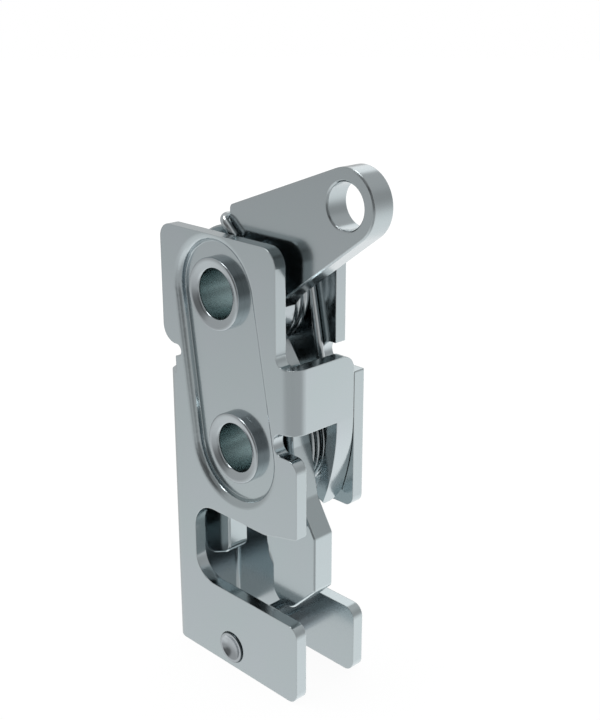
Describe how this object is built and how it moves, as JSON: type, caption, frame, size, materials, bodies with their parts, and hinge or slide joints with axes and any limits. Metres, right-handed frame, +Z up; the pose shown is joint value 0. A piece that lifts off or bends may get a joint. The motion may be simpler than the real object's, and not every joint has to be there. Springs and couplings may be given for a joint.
{
  "type": "rotary latch",
  "caption": "Small side-entry rotary latch: a folded two-plate housing, a hooked rotor that holds a striker, and a sprung release lever with a pull hole.",
  "frame": {"origin": "on the rotor's pivot axis, in its hollow bush, midway between the two side plates", "axes": "+Z up the housing towards the release lever, +X out of the mouth towards the striker, +Y along both pivot axes away from the pressed-in plate"},
  "size_m": [0.0439, 0.0166, 0.0914],
  "materials": {
    "plated_sheet": "zinc-plated pressed sheet, semi-gloss",
    "plated_lever": "zinc-plated blank, semi-gloss",
    "plated_rotor": "zinc-plated blank, semi-gloss",
    "plated_bush": "zinc-plated turned steel, glossy",
    "plated_rivet": "zinc-plated, closed with a dimple",
    "spring_wire": "bright drawn spring wire"
  },
  "bodies": {
    "frame": {"housing": "plated_sheet", "lever_bush": "plated_bush", "rotor_bush": "plated_bush", "base_rivet": "plated_rivet", "lever_spring": "spring_wire", "rotor_spring": "spring_wire"},
    "release_lever": {"lever": "plated_lever"},
    "claw": {"rotor": "plated_rotor"}
  },
  "joints": [
    {"name": "lever_pivot", "type": "hinge", "parent": "frame", "child": "release_lever", "pos_m": [-0.00408, 0, 0.02567], "axis": [0, -1, 0], "range_deg": [0, 17], "stiffness_Nm_per_rad": 0.3, "springref_deg": -57.3, "deforming": ["lever_spring"]},
    {"name": "rotor_pivot", "type": "hinge", "parent": "frame", "child": "claw", "pos_m": [0, 0, 0], "axis": [0, -1, 0], "range_deg": [0, 55], "stiffness_Nm_per_rad": 0.01, "springref_deg": 108.86, "deforming": ["rotor_spring"]}
  ],
  "couplings": [
    {"joint": "rotor_pivot", "follows": "lever_pivot", "ratio": 3.235}
  ]
}
